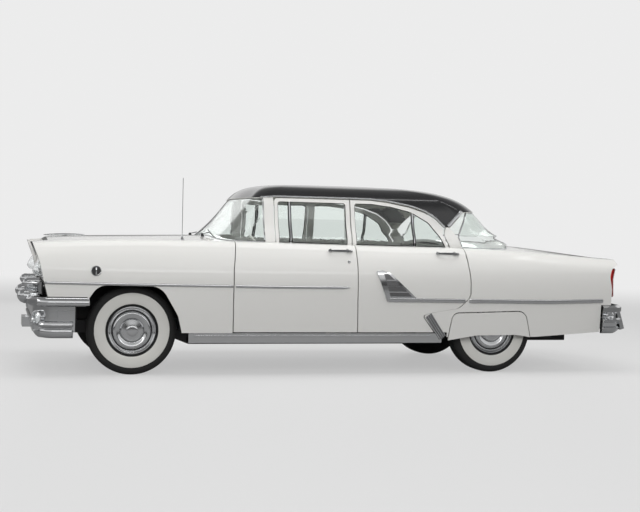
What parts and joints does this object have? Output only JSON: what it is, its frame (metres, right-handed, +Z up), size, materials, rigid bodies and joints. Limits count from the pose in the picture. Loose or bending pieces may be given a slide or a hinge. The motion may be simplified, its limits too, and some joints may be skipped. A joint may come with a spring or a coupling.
{
  "type": "four-door sedan car, 1950s style",
  "caption": "Full-size 1950s four-door sedan with a black roof, wrap-round windshield, skirted rear wheels, opening doors, hood and trunk, and steered front wheels.",
  "frame": {"origin": "on the floor under the middle of the car", "axes": "+X to the car's rear, +Y to its right side, +Z up"},
  "size_m": [5.238, 1.9458, 1.5489],
  "materials": {
    "body_paint": "gloss",
    "roof_paint": "gloss",
    "window_glass": "clear",
    "chrome": "polished",
    "wheel_cover": "polished",
    "tyre": "matte",
    "underbody": "matte",
    "dark_steel": "satin",
    "engine_iron": "satin",
    "seat_fabric": "woven",
    "dash_paint": "satin",
    "wheel_plastic": "gloss",
    "lamp_glass": "clear",
    "red_lens": "gloss"
  },
  "bodies": {
    "body": {"tail_panel": "body_paint", "roof_panel": "roof_paint", "pillars": "body_paint", "windshield": "window_glass", "rear_window": "window_glass", "firewall_cowl": "body_paint", "rear_shelf": "body_paint", "floor_pan": "underbody", "sills": "chrome", "wheelhouses": "underbody", "fender_skirts": "body_paint", "frame_rails": "dark_steel", "engine": "engine_iron", "radiator": "dark_steel", "fuel_tank": "underbody", "exhaust": "dark_steel", "front_seat": "seat_fabric", "rear_seat": "seat_fabric", "dashboard": "dash_paint", "front_suspension": "dark_steel", "rear_suspension": "dark_steel", "headlamps": "lamp_glass", "tail_lamps": "red_lens", "front_bumper": "chrome", "grille": "chrome", "rear_bumper": "chrome", "parking_lamps": "chrome", "front_fender_left": "body_paint", "front_fender_right": "body_paint", "rear_quarter_left": "body_paint", "rear_quarter_right": "body_paint"},
    "hood": {"hood": "body_paint", "hood_ornament": "chrome"},
    "trunk": {"trunk_lid": "body_paint"},
    "steering_wheel": {"steering_wheel": "wheel_plastic"},
    "front_door_left": {"front_door_left": "body_paint", "front_door_glass_left": "window_glass"},
    "rear_door_left": {"rear_door_left": "body_paint", "rear_door_glass_left": "window_glass", "side_scoop_left": "chrome"},
    "knuckle_left": {"knuckle_left": "dark_steel"},
    "wheel_front_left": {"tyre_front_left": "tyre", "wheel_front_left": "wheel_cover"},
    "wheel_rear_left": {"tyre_rear_left": "tyre", "wheel_rear_left": "wheel_cover"},
    "front_door_right": {"front_door_right": "body_paint", "front_door_glass_right": "window_glass"},
    "rear_door_right": {"rear_door_right": "body_paint", "rear_door_glass_right": "window_glass", "side_scoop_right": "chrome"},
    "knuckle_right": {"knuckle_right": "dark_steel"},
    "wheel_front_right": {"tyre_front_right": "tyre", "wheel_front_right": "wheel_cover"},
    "wheel_rear_right": {"tyre_rear_right": "tyre", "wheel_rear_right": "wheel_cover"}
  },
  "joints": [
    {"name": "hood_hinge", "type": "hinge", "parent": "body", "child": "hood", "pos_m": [-1.25, 0, 1.075], "axis": [0, 1, 0], "range_deg": [0, 55]},
    {"name": "trunk_hinge", "type": "hinge", "parent": "body", "child": "trunk", "pos_m": [1.705, 0, 1.084], "axis": [0, -1, 0], "range_deg": [0, 65]},
    {"name": "front_door_left_hinge", "type": "hinge", "parent": "body", "child": "front_door_left", "pos_m": [-0.9, -0.938, 0.7], "axis": [0, 0, -1], "range_deg": [0, 70]},
    {"name": "rear_door_left_hinge", "type": "hinge", "parent": "body", "child": "rear_door_left", "pos_m": [0.105, -0.945, 0.7], "axis": [0, 0, -1], "range_deg": [0, 70]},
    {"name": "front_door_right_hinge", "type": "hinge", "parent": "body", "child": "front_door_right", "pos_m": [-0.9, 0.938, 0.7], "axis": [0, 0, 1], "range_deg": [0, 70]},
    {"name": "rear_door_right_hinge", "type": "hinge", "parent": "body", "child": "rear_door_right", "pos_m": [0.105, 0.945, 0.7], "axis": [0, 0, 1], "range_deg": [0, 70]},
    {"name": "steer_left", "type": "hinge", "parent": "body", "child": "knuckle_left", "pos_m": [-1.746, -0.62, 0.35], "axis": [0, 0, 1], "range_deg": [-30, 30]},
    {"name": "steer_right", "type": "hinge", "parent": "body", "child": "knuckle_right", "pos_m": [-1.746, 0.62, 0.35], "axis": [0, 0, 1], "range_deg": [-30, 30]},
    {"name": "steering_wheel_turn", "type": "hinge", "parent": "body", "child": "steering_wheel", "pos_m": [-0.64, -0.37, 0.905], "axis": [0.9063, 0, 0.4226], "range_deg": [-600, 600]},
    {"name": "spin_front_left", "type": "hinge", "parent": "knuckle_left", "child": "wheel_front_left", "pos_m": [-1.746, -0.7365, 0.35], "axis": [0, 1, 0], "continuous": true},
    {"name": "spin_rear_left", "type": "hinge", "parent": "body", "child": "wheel_rear_left", "pos_m": [1.277, -0.7495, 0.35], "axis": [0, 1, 0], "continuous": true},
    {"name": "spin_front_right", "type": "hinge", "parent": "knuckle_right", "child": "wheel_front_right", "pos_m": [-1.746, 0.7365, 0.35], "axis": [0, 1, 0], "continuous": true},
    {"name": "spin_rear_right", "type": "hinge", "parent": "body", "child": "wheel_rear_right", "pos_m": [1.277, 0.7495, 0.35], "axis": [0, 1, 0], "continuous": true}
  ],
  "couplings": [
    {"joint": "steer_right", "follows": "steer_left", "ratio": 1},
    {"joint": "steering_wheel_turn", "follows": "steer_left", "ratio": 20}
  ]
}
